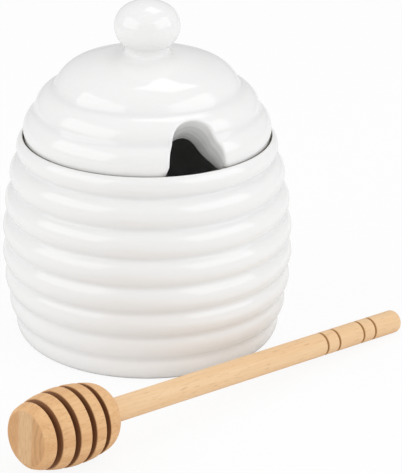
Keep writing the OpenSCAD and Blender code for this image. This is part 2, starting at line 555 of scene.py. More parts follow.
def waviness_group() -> bpy.types.NodeTree:
    """Builds the group for a surface that is not quite even.

    Returns:
        A group that puts out a height in metres and a mask from 0 to 1.
    """
    tree, nodes, start, end = new_group(
        "waviness",
        {
            "Place": ("NodeSocketVector", (0.0, 0.0, 0.0)),
            "Broad scale": ("NodeSocketFloat", 60.0),
            "Fine scale": ("NodeSocketFloat", 900.0),
            "Broad height": ("NodeSocketFloat", 0.0002),
            "Fine height": ("NodeSocketFloat", 0.00001),
        },
        {"Height": "NodeSocketFloat", "Mask": "NodeSocketFloat"},
    )
    broad = nodes.noise(start.outputs["Place"], start.outputs["Broad scale"], 1.5)
    fine = nodes.noise(start.outputs["Place"], start.outputs["Fine scale"], 3.0)
    height = nodes.maths(
        "ADD",
        nodes.maths("MULTIPLY", broad, start.outputs["Broad height"]),
        nodes.maths("MULTIPLY", fine, start.outputs["Fine height"]),
    )
    nodes.link(height, end.inputs["Height"])
    nodes.link(broad, end.inputs["Mask"])
    return tree


def grain_group() -> bpy.types.NodeTree:
    """Builds the group for wood whose grain runs along Z.

    Returns:
        A group that puts out the colour, the roughness and a height in metres.
    """
    tree, nodes, start, end = new_group(
        "wood_grain",
        {
            "Place": ("NodeSocketVector", (0.0, 0.0, 0.0)),
            "Light": ("NodeSocketColor", (0.8, 0.6, 0.4, 1.0)),
            "Dark": ("NodeSocketColor", (0.5, 0.3, 0.15, 1.0)),
            "Fleck": ("NodeSocketColor", (0.3, 0.16, 0.07, 1.0)),
            "Streak": ("NodeSocketFloat", 0.5),
            "Fleck share": ("NodeSocketFloat", 0.3),
            "Depth": ("NodeSocketFloat", 0.00003),
        },
        {"Colour": "NodeSocketColor", "Roughness": "NodeSocketFloat", "Height": "NodeSocketFloat"},
    )
    place = start.outputs["Place"]
    bend_scale, broad_scale = (30.0, 30.0, 9.0), (330.0, 330.0, 12.0)
    fine_scale, fleck_scale = (1700.0, 1700.0, 60.0), (2600.0, 2600.0, 210.0)
    broad_share, fine_share = 0.65, 0.35
    bend = nodes.noise(nodes.stretched(place, bend_scale), 1.0, 1.0)
    shifted = nodes.add("ShaderNodeVectorMath", operation="ADD")
    nodes.link(nodes.stretched(place, broad_scale), shifted.inputs[0])
    nodes.link(bend, shifted.inputs[1])
    broad = nodes.noise(shifted.outputs[0], 1.0, 2.0, 0.55)
    fine = nodes.noise(nodes.stretched(place, fine_scale), 1.0, 3.0, 0.6)
    fleck = nodes.noise(nodes.stretched(place, fleck_scale), 1.0, 1.0, 0.4)
    both = nodes.maths(
        "ADD",
        nodes.maths("MULTIPLY", nodes.span(broad, 0.32, 0.68), broad_share),
        nodes.maths("MULTIPLY", nodes.span(fine, 0.35, 0.65), fine_share),
    )
    streak = nodes.maths("MULTIPLY", both, start.outputs["Streak"])
    colour = nodes.mix(streak, start.outputs["Light"], start.outputs["Dark"])
    pores = nodes.maths("MULTIPLY", nodes.span(fleck, 0.62, 0.72), start.outputs["Fleck share"])
    nodes.link(nodes.mix(pores, colour, start.outputs["Fleck"]), end.inputs["Colour"])
    nodes.link(nodes.span(fine, 0.3, 0.7, 0.5, 0.66), end.inputs["Roughness"])
    relief = nodes.maths("SUBTRACT", nodes.maths("MULTIPLY", fine, 0.5), pores)
    nodes.link(nodes.maths("MULTIPLY", relief, start.outputs["Depth"]), end.inputs["Height"])
    return tree


def end_grain_group() -> bpy.types.NodeTree:
    """Builds the group for wood cut across: a darker ground, a pale band and curved growth rings. The darker
    ground is partly end grain's own tone and partly painted shade that sets the face off from the sides.

    Returns:
        A group that puts out the colour.
    """
    tree, nodes, start, end = new_group(
        "end_grain",
        {
            "Place": ("NodeSocketVector", (0.0, 0.0, 0.0)),
            "Colour": ("NodeSocketColor", (0.7, 0.45, 0.25, 1.0)),
            "Ground": ("NodeSocketColor", (0.62, 0.33, 0.14, 1.0)),
            "Band": ("NodeSocketColor", (0.73, 0.48, 0.26, 1.0)),
            "Ring": ("NodeSocketColor", (0.46, 0.25, 0.10, 1.0)),
        },
        {"Colour": "NodeSocketColor"},
    )
    place = start.outputs["Place"]
    parts = nodes.add("ShaderNodeSeparateXYZ")
    nodes.link(place, parts.inputs[0])
    wobble_scale, wobble_size = 160.0, 0.0007
    ring_bow, ring_rate = 30.0, 2600.0
    band_middle, band_inner, band_outer = 0.0006, 0.0024, 0.0040
    ring_side, ring_fade = -0.0036, -0.0020
    ground_and_shade_share, ring_strength, band_strength, streak_strength = 0.8, 0.6, 0.85, 0.45
    wobble = nodes.maths("MULTIPLY", nodes.noise(place, wobble_scale), wobble_size)
    across = nodes.maths("ADD", parts.outputs[1], wobble)
    bow = nodes.maths("MULTIPLY", nodes.maths("MULTIPLY", parts.outputs[0], parts.outputs[0]), ring_bow)
    rings = nodes.maths("SINE", nodes.maths("MULTIPLY", nodes.maths("ADD", across, bow), ring_rate))
    off_middle = nodes.maths("ABSOLUTE", nodes.maths("SUBTRACT", across, band_middle))
    band = nodes.span(off_middle, band_inner, band_outer, 1.0, 0.0)
    streaks = nodes.noise(nodes.stretched(place, (300.0, 2600.0, 300.0)), 1.0, 3.0, 0.6)
    beside = nodes.span(across, ring_side, ring_fade, 1.0, 0.0)
    ring_share = nodes.maths("MULTIPLY", nodes.span(rings, -0.2, 1.0), beside)
    # The darker ground is partly end grain's own tone and partly painted shade on the face.
    ground_and_shade = nodes.mix(ground_and_shade_share, start.outputs["Colour"], start.outputs["Ground"])
    ringed = nodes.mix(nodes.maths("MULTIPLY", ring_share, ring_strength), ground_and_shade, start.outputs["Ring"])
    banded = nodes.mix(nodes.maths("MULTIPLY", band, band_strength), ringed, start.outputs["Band"])
    fine = nodes.maths("MULTIPLY", nodes.span(streaks, 0.4, 0.65), streak_strength)
    nodes.link(nodes.mix(fine, banded, start.outputs["Ring"]), end.inputs["Colour"])
    return tree


def streak_group() -> bpy.types.NodeTree:
    """Builds the group for darker streaks across a cut wall, which vary the painted shade there.

    Returns:
        A group that puts out a mask from 0 to 1.
    """
    tree, nodes, start, end = new_group(
        "cut_streaks",
        {"Place": ("NodeSocketVector", (0.0, 0.0, 0.0)), "Depth": ("NodeSocketFloat", 0.0)},
        {"Mask": "NodeSocketFloat"},
    )
    drift_scale, streaks_across = 120.0, 9.0
    drift = nodes.noise(start.outputs["Place"], drift_scale, 1.0)
    along = nodes.add("ShaderNodeCombineXYZ")
    nodes.feed(along.inputs[0], nodes.maths("MULTIPLY", start.outputs["Depth"], streaks_across))
    nodes.feed(along.inputs[1], drift)
    nodes.link(nodes.span(nodes.noise(along.outputs[0], 1.0, 3.0, 0.6), 0.38, 0.62), end.inputs["Mask"])
    return tree


# Finishes


@dataclass(frozen=True)
class Unevenness:
    """Scales and heights, in metres, of the broad and fine waves of a surface."""

    broad_scale: float
    fine_scale: float
    broad_height: float
    fine_height: float

    def dress(self, nodes: Nodes, waves: bpy.types.NodeTree, place: bpy.types.NodeSocket) -> bpy.types.Node:
        """Places the group for an uneven surface in a material.

        Args:
            nodes: The material's node tool.
            waves: The group.
            place: The place on the object.

        Returns:
            The group node.
        """
        values = {
            "Place": place,
            "Broad scale": self.broad_scale,
            "Fine scale": self.fine_scale,
            "Broad height": self.broad_height,
            "Fine height": self.fine_height,
        }
        return place_group(nodes, waves, values)


@dataclass(frozen=True)
class GlazedPorcelain:
    """White porcelain under a clear glossy glaze."""

    body: Colour = (0.89, 0.89, 0.885)
    pooled: Colour = (0.80, 0.805, 0.805)
    # cut, streak and deep are painted shade on the notch's cut wall: grey, with darker streaks, and darkest
    # towards the lid's inside.
    cut: Colour = (0.70, 0.70, 0.695)
    streak: Colour = (0.52, 0.52, 0.515)
    deep: Colour = (0.22, 0.22, 0.22)
    roughness: float = 0.07
    ior: float = 1.52
    pooled_share: float = 0.8
    deep_shade_share: float = 0.6
    uneven: Unevenness = Unevenness(55.0, 1400.0, 0.00012, 0.000002)

    def build(self, waves: bpy.types.NodeTree, streaks: bpy.types.NodeTree) -> bpy.types.Material:
        """Builds the material.

        Args:
            waves: The group for an uneven surface.
            streaks: The group for the marks on a cut wall.

        Returns:
            The material.
        """
        material, nodes, shader = new_material("glazed_porcelain")
        place = nodes.add("ShaderNodeTexCoord").outputs["Object"]
        wave = self.uneven.dress(nodes, waves, place)
        pooled = nodes.maths("MULTIPLY", nodes.mark("groove"), self.pooled_share)
        surface = nodes.mix(pooled, solid(self.body), solid(self.pooled))
        # Painted shade on the notch's wall: grey with darker streaks, darkening towards the inside of the
        # lid.
        depth = nodes.mark("depth")
        marks = place_group(nodes, streaks, {"Place": place, "Depth": depth}).outputs["Mask"]
        streaked_shade = nodes.mix(marks, solid(self.cut), solid(self.streak))
        inward_shade = nodes.span(depth, 0.0, 0.6, self.deep_shade_share, 0.0)
        wall = nodes.mix(inward_shade, streaked_shade, solid(self.deep))
        # The cut mark lays the painted shade over the glazed colour on the notch's wall.
        nodes.feed(shader.inputs["Base Color"], nodes.mix(nodes.mark("cut"), surface, wall))
        shader.inputs["Roughness"].default_value = self.roughness
        shader.inputs["IOR"].default_value = self.ior
        nodes.bump(wave.outputs["Height"], shader)
        return material


@dataclass(frozen=True)
class BarePorcelainSeamShade:
    """Porcelain that the glaze was wiped from: the foot ring, the pot's seat and the lid's edge. Its dark
    grey is painted shade for the seam between lid and pot; unglazed porcelain itself is off-white.
    """

    # Dark grey: painted shade for the seam between lid and pot, not the colour of unglazed porcelain.
    body: Colour = (0.40, 0.38, 0.35)
    patch: Colour = (0.36, 0.342, 0.315)
    roughness: float = 0.7
    uneven: Unevenness = Unevenness(400.0, 3500.0, 0.00001, 0.00002)

    def build(self, waves: bpy.types.NodeTree) -> bpy.types.Material:
        """Builds the material.

        Args:
            waves: The group for an uneven surface.

        Returns:
            The material.
        """
        material, nodes, shader = new_material("bare_porcelain_seam_shade")
        wave = self.uneven.dress(nodes, waves, nodes.add("ShaderNodeTexCoord").outputs["Object"])
        patchy = nodes.mix(wave.outputs["Mask"], solid(self.body), solid(self.patch))
        nodes.feed(shader.inputs["Base Color"], patchy)
        shader.inputs["Roughness"].default_value = self.roughness
        nodes.bump(wave.outputs["Height"], shader)
        return material


@dataclass(frozen=True)
class TurnedWood:
    """Beech turned on a lathe, with darker burnt grooves."""

    name: str
    light: Colour
    dark: Colour
    fleck: Colour
    burnt: Colour
    streak: float = 0.6
    fleck_share: float = 0.35
    pore_depth: float = 0.00004

    def build(self, grain: bpy.types.NodeTree, end_grain: bpy.types.NodeTree) -> bpy.types.Material:
        """Builds the material.

        Args:
            grain: The group for wood grain along the sides.
            end_grain: The group for wood cut across.

        Returns:
            The material.
        """
        material, nodes, shader = new_material(self.name)
        place = nodes.add("ShaderNodeAttribute", attribute_name="rest").outputs["Vector"]
        wood = place_group(
            nodes,
            grain,
            {
                "Place": place,
                "Light": solid(self.light),
                "Dark": solid(self.dark),
                "Fleck": solid(self.fleck),
                "Streak": self.streak,
                "Fleck share": self.fleck_share,
                "Depth": self.pore_depth,
            },
        )
        # The front face takes the end-grain colour, whose darker ground is partly painted shade.
        cut_end = place_group(nodes, end_grain, {"Place": place, "Colour": wood.outputs["Colour"]})
        sides = nodes.mix(nodes.mark("face"), wood.outputs["Colour"], cut_end.outputs["Colour"])
        nodes.feed(shader.inputs["Base Color"], nodes.mix(nodes.mark("burn"), sides, solid(self.burnt)))
        nodes.link(wood.outputs["Roughness"], shader.inputs["Roughness"])
        nodes.bump(wood.outputs["Height"], shader)
        return material


HEAD_WOOD = TurnedWood(
    name="head_wood",
    light=(0.83, 0.51, 0.25),
    dark=(0.64, 0.325, 0.125),
    fleck=(0.36, 0.15, 0.05),
    burnt=(0.29, 0.125, 0.05),
)
HANDLE_WOOD = TurnedWood(
    name="handle_wood",
    light=(0.89, 0.62, 0.365),
    dark=(0.79, 0.48, 0.24),
    fleck=(0.55, 0.29, 0.12),
    burnt=(0.36, 0.165, 0.04),
)


# Pot


@dataclass
class Barrel:
    """The pot's barrel curve and the heights of its grooves, in millimetres."""

    widest_r: float = 50.1
    widest_z: float = 34.0
    low_arc_r: float = 101.0
    high_arc_r: float = 120.0
    rings: int = 7
    first_h: float = 8.5
    growth: float = 0.27
    first_depth: float = 1.5
    depth_growth: float = 0.25
    crown_rise: float = 0.1

    def radius(self, z: float) -> float:
        """Radius over the crowns at height z."""
        arc = self.low_arc_r if z < self.widest_z else self.high_arc_r
        return self.widest_r - (arc - math.sqrt(arc * arc - (z - self.widest_z) ** 2))

    def groove_z(self, i: int) -> float:
        """Height of groove i."""
        return i * self.first_h + self.growth * i * (i - 1) / 2

    def depth(self, i: int) -> float:
        """Depth of groove i."""
        return self.first_depth + self.depth_growth * i

    def groove(self, i: int) -> Point:
        """Radius and height of groove i."""
        return self.radius(self.groove_z(i)) - self.depth(i), self.groove_z(i)


@dataclass
class Rim:
    """The pot's lip and the seat inside it, in millimetres."""

    barrel: Barrel
    ring_h: float = 7.75
    bulge: float = 2.1
    lip_inset: float = 1.2
    seat_depth: float = 2.3

    @property
    def lip_z(self) -> float:
        """Height of the lip."""
        return self.barrel.groove_z(self.barrel.rings) + self.ring_h

    @property
    def lip_r(self) -> float:
        """Radius inside the lip."""
        return self.barrel.radius(self.lip_z) - self.lip_inset

    @property
    def seat_z(self) -> float:
        """Height of the seat."""
        return self.lip_z - self.seat_depth


@dataclass
class Pot:
    """The ringed pot, turned from one section."""

    barrel: Barrel
    rim: Rim
    wall: float = 6.6
    floor: float = 6.0
    floor_corner: float = 10.0
    foot_w: float = 4.5
    recess: float = 1.2
    recess_slope: float = 0.6
    foot_edge: Point = (0.5, 0.35)
    foot_softs: tuple[float, float, float, float] = (0.5, 0.25, 0.4, 0.3)
    lip_end: Point = (0.3, 0.1)
    lip_step: Point = (0.1, 0.4)
    lip_softs: tuple[float, float, float, float] = (0.45, 0.3, 0.35, 1.2)
    groove_soft: float = 1.5
    columns: int = 200
    row_step: float = 0.42

    def section(self) -> tuple[np.ndarray, np.ndarray]:
        """Draws the half section from the middle of the underside to the middle of the floor.

        Returns:
            The points of the section, and how far each lies in a groove, from 0 to 1.
        """
        b, rim = self.barrel, self.rim
        foot_r, foot_in = b.groove(0)[0], b.groove(0)[0] - self.foot_w
        foot = (
            (foot_in - self.recess_slope, self.recess),
            (foot_in, 0.0),
            (foot_r - self.foot_edge[0], 0.0),
            (foot_r, self.foot_edge[1]),
        )
        out = Outline((0.0, self.recess))
        for place, soft in zip(foot, self.foot_softs):
            out.line(place, soft)
        for i in range(b.rings):
            sag = (b.depth(i) + b.depth(i + 1)) / 2 + b.crown_rise
            out.bulge(b.groove(i + 1), sag, self.groove_soft)
        mouth_r = b.radius(rim.seat_z) - self.wall
        lip_soft, step_soft, seat_soft, mouth_soft = self.lip_softs
        out.bulge((rim.lip_r + self.lip_end[0], rim.lip_z - self.lip_end[1]), rim.bulge, lip_soft)
        out.line((rim.lip_r + self.lip_step[0], rim.lip_z - self.lip_step[1]), step_soft)
        out.line((rim.lip_r, rim.seat_z), seat_soft).line((mouth_r, rim.seat_z), mouth_soft)
        for z in np.linspace(rim.seat_z - 0.1, self.floor + self.floor_corner, 60):
            out.line((b.radius(z) - self.wall, z))
        corner = out.end() - (self.floor_corner, 0.0)
        out.arc(corner, self.floor_corner, 0.0, -math.pi / 2, count=30).line((0.0, self.floor))
        points = out.points()
        grooves = [b.groove(i) for i in range(1, b.rings + 1)]
        return points, groove_share(points[:, 0], points[:, 1], grooves)

    def build(self, glaze: bpy.types.Material, bare_seam_shade: bpy.types.Material) -> bpy.types.Object:
        """Builds the pot.

        Args:
            glaze: Material of the glazed faces.
            bare_seam_shade: Material of the foot ring and the seat, dark grey as painted shade for the seam.

        Returns:
            The object.
        """
        points, groove = self.section()
        obj = turned("pot_body", points, self.columns, self.row_step, {"groove": groove})
        obj.data.materials.append(glaze)
        obj.data.materials.append(bare_seam_shade)
        foot_top = 0.25
        foot_in = self.barrel.groove(0)[0] - self.foot_w - 0.2
        seat_low, seat_high = self.rim.seat_z - 0.5, self.rim.lip_z - 0.25
        seat_out = self.rim.lip_r + 0.25
        # The seat and the foot ring take the dark unglazed material, whose grey is painted shade for the
        # seam.
        for face in obj.data.polygons:
            radial, height = math.hypot(*face.center.xy) / MM, face.center.z / MM
            on_seat = radial < seat_out and seat_low < height < seat_high
            if on_seat or (height < foot_top and radial > foot_in):
                face.material_index = 1
        return obj


# Lid


@dataclass
class Notch:
    """The slanting cut in the lid's edge, in millimetres: a round outline swept along one direction."""

    radius: float = 10.9
    out: float = 3.57
    angle_deg: float = 24.0
    lean_deg: float = 30.0
    lean_dir_deg: float = 50.0
    softness: float = 0.9
    low_softness: float = 2.4
    columns: int = 95


@dataclass
class Lid:
    """The lid with its knob: a turned shell whose edge has a slanting cut."""

    rim: Rim
    notch: Notch
    clearance: float = 0.4
    low_groove: Point = (3.6, 11.4)
    high_groove: Point = (10.1, 19.2)
    ring_bulge: float = 1.75
    top_h: float = 31.6
    dome_r: float = 70.0
    edge_r: float = 12.5
    top_t: float = 6.0
    hollow_r: float = 30.6
    flare_r: float = 12.2
    flare_h: float = 11.0
    knob_r: float = 11.2
    knob_side_r: float = 8.2
    knob_top_r: float = 16.0
    knob_mid_h: float = 8.9
    neck_r: float = 7.6
    vault_soft: float = 3.0
    inner_soft: float = 0.5
    seat_soft: float = 0.45
    lip_soft: float = 0.6
    groove_soft: float = 1.5
    neck_soft: float = 1.3
    knob_soft: float = 0.9
    columns: int = 170
    inner_rows: int = 111
    wall_rows: int = 28
    outer_rows: int = 72
    top_step: float = 0.42
    # Rows over which the painted shade of the cut wall fades out towards its outer edge.
    shade_fade: float = 22.0

    @property
    def edge_radius(self) -> float:
        """Radius of the lid's straight edge."""
        return self.rim.lip_r - self.clearance

    @property
    def top_z(self) -> float:
        """Height of the cap's top."""
        return self.rim.seat_z + self.top_h

    @property
    def low_at(self) -> np.ndarray:
        """Lower groove."""
        return np.array([self.edge_radius - self.low_groove[0], self.rim.seat_z + self.low_groove[1]])

    @property
    def high_at(self) -> np.ndarray:
        """Upper groove."""
        return np.array([self.edge_radius - self.high_groove[0], self.rim.seat_z + self.high_groove[1]])

    def cap_edge_at(self) -> np.ndarray:
        """Finds the centre of the cap's rounded edge, which touches the dome and starts in the groove.

        Returns:
            Its radius and height.
        """
        dome = np.array([0.0, self.top_z - self.dome_r])
        to_groove = self.high_at - dome
        far = np.linalg.norm(to_groove)
        reach = self.dome_r - self.edge_r
        along = (reach * reach - self.edge_r**2 + far * far) / (2 * far)
        aside = math.sqrt(reach * reach - along * along)
        way = to_groove / far
        return dome + along * way + aside * np.array([-way[1], way[0]])

    def inner_section(self) -> np.ndarray:
        """Draws the inside from the middle of the vault to the inner edge of the rim.

        Returns:
            One row per point: radius and height.
        """
        rise = self.top_h - self.top_t - self.low_groove[1]
        vault_r = (self.hollow_r**2 + rise * rise) / (2 * rise)
        vault_z = self.top_z - self.top_t - vault_r
        spread = math.asin(self.hollow_r / vault_r)
        out = Outline((0.0, vault_z + vault_r))
        out.arc((0.0, vault_z), vault_r, math.pi / 2, math.pi / 2 - spread, self.vault_soft, 50)
        centre = (self.hollow_r + self.flare_r, self.rim.seat_z + self.flare_h)
        out.line((self.hollow_r, centre[1]))
        out.arc(centre, self.flare_r, math.pi, math.pi + math.asin(self.flare_h / self.flare_r), count=40)
        return out.points()

    def section(self) -> np.ndarray:
        """Draws the half section from the middle of the vault round the rim to the knob's top.

        Returns:
            One row per point: radius and height.
        """
        inner = self.inner_section()
        edge = self.edge_radius
        out = Outline(tuple(inner[0])).curve(inner, self.inner_soft)
        out.line((edge, self.rim.seat_z), self.seat_soft).line((edge, self.rim.lip_z), self.lip_soft)
        out.bulge(self.low_at, self.ring_bulge, self.groove_soft)
        out.bulge(self.high_at, self.ring_bulge, self.groove_soft)
        cap, dome = self.cap_edge_at(), (0.0, self.top_z - self.dome_r)
        low = math.atan2(self.high_at[1] - cap[1], self.high_at[0] - cap[0])
        high = math.atan2(cap[1] - dome[1], cap[0])
        out.arc(cap, self.edge_r, low, high)
        out.arc(dome, self.dome_r, high, math.acos(self.neck_r / self.dome_r), self.neck_soft)
        side = (self.knob_r - self.knob_side_r, self.top_z + self.knob_mid_h)
        side_start = -math.acos((self.neck_r - side[0]) / self.knob_side_r)
        out.line((self.neck_r, side[1] + self.knob_side_r * math.sin(side_start)), self.knob_soft)
        reach = self.knob_top_r - self.knob_side_r
        ball = (0.0, side[1] - math.sqrt(reach**2 - side[0] ** 2))
        side_end = math.atan2(side[1] - ball[1], side[0])
        out.arc(side, self.knob_side_r, side_start, side_end)
        out.arc(ball, self.knob_top_r, side_end, math.pi / 2, count=40)
        return out.points()

    def _columns(self) -> tuple[np.ndarray, np.ndarray]:
        """Angles of the columns from the notch's middle, and where each is cut off.

        Returns:
            The angle of each column and the radius beyond which the lid is cut away there.
        """
        far = self.edge_radius + self.notch.out
        reach = self.widest
        last = math.acos((far**2 + self.notch.radius**2 - reach**2) / (2 * far * self.notch.radius))
        turn = np.linspace(-last, last, self.notch.columns)
        x = far - self.notch.radius * np.cos(turn)
        y = self.notch.radius * np.sin(turn)
        inside, cut = np.arctan2(y, x), np.hypot(x, y)
        fine_degrees, wider_degrees = np.linspace(0.15, 0.55, 10), np.linspace(0.6, 2.2, 14)
        near = np.degrees(inside[-1]) + np.cumsum(np.concatenate([fine_degrees, wider_degrees]))
        rest = np.linspace(near[-1], 360 - near[-1], self.columns)[1:-1]
        outside = np.radians(np.concatenate([near, rest, 360 - near[::-1]]))
        angles = np.concatenate([inside, outside])
        return angles, np.concatenate([cut, np.full(len(outside), np.inf)])

    def _sweep(self) -> np.ndarray:
        """Finds the upward direction of the cut where the notch looks towards +X.

        Returns:
            The direction, of length one.
        """
        lean = math.radians(self.notch.lean_deg)
        aside = math.radians(self.notch.lean_dir_deg - self.notch.angle_deg)
        return np.array([math.sin(lean) * math.cos(aside), math.sin(lean) * math.sin(aside), math.cos(lean)])

    def _wall(self, points: np.ndarray, edge: np.ndarray, rim: int) -> tuple[float, np.ndarray]:
        """Follows the cut from its outer edge to the inside of the shell.

        Args:
            points: The whole half section.
            edge: Place on the outer edge of the cut.
            rim: Place of the rim in the section.

        Returns:
            Where the cut ends along the section, and the place in space.
        """
        low = points[: rim + 1]
        longest, step = 40.0, 0.04
        run = edge - np.arange(0.0, longest, step)[:, None] * self._sweep()
        radial = np.hypot(run[:, 0], run[:, 1])
        hollow = np.interp(run[:, 2], low[::-1, 1], np.maximum.accumulate(low[:, 0])[::-1])
        first = int(np.argmax((radial < hollow) | (run[:, 2] < self.rim.seat_z)))
        end = run[first]
        nearest = int(np.hypot(low[:, 0] - radial[first], low[:, 1] - end[2]).argmin())
        return float(polyline_lengths(low)[nearest]), end

    def _rows(self, points: np.ndarray, angle: float, cut: float, marks: dict[str, int]) -> np.ndarray:
        """Samples the section of one column with the same number of rows everywhere.

        Args:
            points: The whole half section.
            angle: Angle of the column from the middle of the notch.
            cut: Radius beyond which this column is cut away.
            marks: Places of the rim, the widest point and the upper groove in the section.

        Returns:
            One row per vertex: radius, height and angle.
        """
        rim, wide, groove = marks["rim"], marks["wide"], marks["groove"]
        t = 1 - (1 - np.linspace(0, 1, self.inner_rows)) ** 1.5
        u = (0.5 - 0.5 * np.cos(np.linspace(0, math.pi, self.wall_rows + 1)))[1:]
        if math.isfinite(cut):
            high = points[wide : groove + 1][::-1]
            along = polyline_lengths(high)
            rising = np.maximum.accumulate(high[:, 0]) + np.arange(len(high)) * 1e-9
            at = float(np.interp(cut, rising, along))
            outer = polyline_at(high, np.append(np.arange(0, at, 0.1), at))[::-1]
            edge = np.array([outer[0, 0] * math.cos(angle), outer[0, 0] * math.sin(angle), outer[0, 1]])
            reach, end = self._wall(points, edge, rim)
            line = end + u[:, None] * (edge - end)
            radial, around = np.hypot(line[:, 0], line[:, 1]), np.arctan2(line[:, 1], line[:, 0])
            wall = np.column_stack([radial, line[:, 2], around])
            inner = polyline_at(points[: rim + 1], t * reach)
            turn = np.full(len(inner), math.atan2(end[1], end[0]))
        else:
            outer = points[wide : groove + 1]
            side = points[rim : wide + 1]
            side_at = polyline_at(side, u * polyline_lengths(side)[-1])
            wall = np.column_stack([side_at, np.full(len(u), angle)])
            length = polyline_lengths(points[: rim + 1])[-1]
            inner = polyline_at(points[: rim + 1], t * length)
            drift_reach = 3.0
            turn = angle + self._drift(points, angle, marks) * np.clip((1 - t) * length / drift_reach, 0, 1)
        upwards = (np.linspace(0, 1, self.outer_rows + 1) ** 1.2)[1:]
        top = polyline_at(outer, upwards * polyline_lengths(outer)[-1])
        return np.concatenate([
            np.column_stack([inner, turn]), wall, np.column_stack([top, np.full(len(top), angle)])
        ])

    def _drift(self, points: np.ndarray, angle: float, marks: dict[str, int]) -> float:
        """How far the inside of a whole column turns to follow the leaning sides of the notch.

        Args:
            points: The whole half section.
            angle: Angle of the column from the middle of the notch.
            marks: Places of the rim, the widest point and the upper groove in the section.

        Returns:
            The turn in radians.
        """
        reach, spread = self.widest, math.radians(30)
        far = self.edge_radius + self.notch.out
        half = math.acos((far**2 + reach**2 - self.notch.radius**2) / (2 * far * reach))
        drift = 0.0
        for side in (-1.0, 1.0):
            gap = abs((angle - side * half + math.pi) % (2 * math.pi) - math.pi)
            share = max(1 - gap / spread, 0.0) ** 2
            if share > 0:
                place = points[marks["wide"]]
                edge = np.array([place[0] * math.cos(half), side * place[0] * math.sin(half), place[1]])
                end = self._wall(points, edge, marks["rim"])[1]
                drift += share * (math.atan2(end[1], end[0]) - side * half)
        return drift

    def _shell_value(self, verts: np.ndarray, points: np.ndarray) -> tuple[np.ndarray, np.ndarray]:
        """Depth of vertices in the uncut shell, as negative values, and the way out.

        Args:
            verts: Vertices in millimetres.
            points: The whole half section.

        Returns:
            The value and the outward direction at each vertex.
        """
        a, b = points[:-1], points[1:]
        along = b - a
        size = np.maximum((along**2).sum(1), TINY**2)
        out = np.stack([along[:, 1], -along[:, 0]], axis=1) / np.sqrt(size)[:, None]
        radial = np.hypot(verts[:, 0], verts[:, 1])
        p = np.stack([radial, verts[:, 2]], axis=1)
        t = np.clip(((p[:, None] - a) * along).sum(2) / size, 0, 1)
        gap = p[:, None] - (a + t[..., None] * along)
        d2 = (gap**2).sum(2)
        best, rows = d2.argmin(1), np.arange(len(verts))
        value = -np.sqrt(d2[rows, best])
        step = -gap[rows, best]
        way = np.where(value[:, None] < -0.05, step / np.maximum(-value, TINY)[:, None], out[best])
        flat = verts[:, :2] / radial[:, None]
        return value, np.column_stack([way[:, :1] * flat, way[:, 1]])

    def _cut_value(self, verts: np.ndarray, outside: np.ndarray) -> np.ndarray:
        """How far vertices reach into the cut, measured where the cut's direction leaves the lid.

        Args:
            verts: Vertices in millimetres.
            outside: The outer part of the half section.

        Returns:
            One value per vertex, above zero inside the cut.
        """
        way = self._sweep()
        lowest, highest, halvings = -6.0, 30.0, 26
        low, high = np.full(len(verts), lowest), np.full(len(verts), highest)
        for _ in range(halvings):
            mid = (low + high) / 2
            p = verts + mid[:, None] * way
            beyond = np.hypot(p[:, 0], p[:, 1]) > np.interp(p[:, 2], outside[:, 1], outside[:, 0])
            low, high = np.where(beyond, low, mid), np.where(beyond, mid, high)
        p = verts + ((low + high) / 2)[:, None] * way
        return self.notch.radius - np.hypot(p[:, 0] - self.edge_radius - self.notch.out, p[:, 1])

    def _softness(self, heights: np.ndarray) -> np.ndarray:
        """Reach of the cut's rounding, which grows towards the lid's seat.

        Args:
            heights: Heights of the vertices.

        Returns:
            The reach at each of them.
        """
        starts, full = 5.0, 2.0
        low = np.clip((self.rim.seat_z + starts - heights) / (starts - full), 0, 1)
        return self.notch.softness + low * (self.notch.low_softness - self.notch.softness)

    def _round_cut(self, verts: np.ndarray, points: np.ndarray, rim: int, passes: int = 3) -> np.ndarray:
        """Rounds the edges of the cut by easing the vertices near it inwards.

        Args:
            verts: Vertices in millimetres, with the notch towards +X.
            points: The whole half section.
            rim: Place of the rim in the section.
            passes: How often the vertices are moved.

        Returns:
            The moved vertices.
        """
        tiny, batch = 0.02, 1500
        least_steep, least_slope, longest_move = 0.3, 0.25, 1.5
        top = int(points[:, 1].argmax())
        outside = points[rim : top + 1]
        outside = np.column_stack([outside[:, 0], np.maximum.accumulate(outside[:, 1])])
        x, y, z = verts.T
        highest, innermost, widest = self.high_at[1] + 3, 15.0, 17.0
        near = np.where((z < highest) & (x > innermost) & (np.abs(y) < widest))[0]
        near = near[self._cut_value(verts[near], outside) > -3 * self.notch.low_softness]
        for _ in range(passes):
            for part in np.array_split(near, max(len(near) // batch, 1)):
                v = verts[part]
                k = self._softness(v[:, 2])
                shell, n_shell = self._shell_value(v, points)
                cut = self._cut_value(v, outside)
                steps = [self._cut_value(v + tiny * np.eye(3)[axis], outside) - cut for axis in range(3)]
                slope_cut = np.stack(steps, axis=1) / tiny
                steep = np.maximum(np.linalg.norm(slope_cut, axis=1), least_steep)
                cut, n_cut = cut / steep, slope_cut / steep[:, None]
                h = np.maximum(k - np.abs(shell - cut), 0)
                value = np.maximum(shell, cut) + h * h / (4 * k)
                w = np.where(shell >= cut, 1 - h / (2 * k), h / (2 * k))
                slope = w[:, None] * n_shell + (1 - w)[:, None] * n_cut
                move = slope * (value / np.maximum((slope**2).sum(1), least_slope))[:, None]
                size = np.linalg.norm(move, axis=1)
                verts[part] = v - move * np.minimum(1, longest_move * k / np.maximum(size, TINY))[:, None]
        return verts

    @cached_property
    def widest(self) -> float:
        """Greatest radius of the lid."""
        return float(self.section()[:, 0].max())

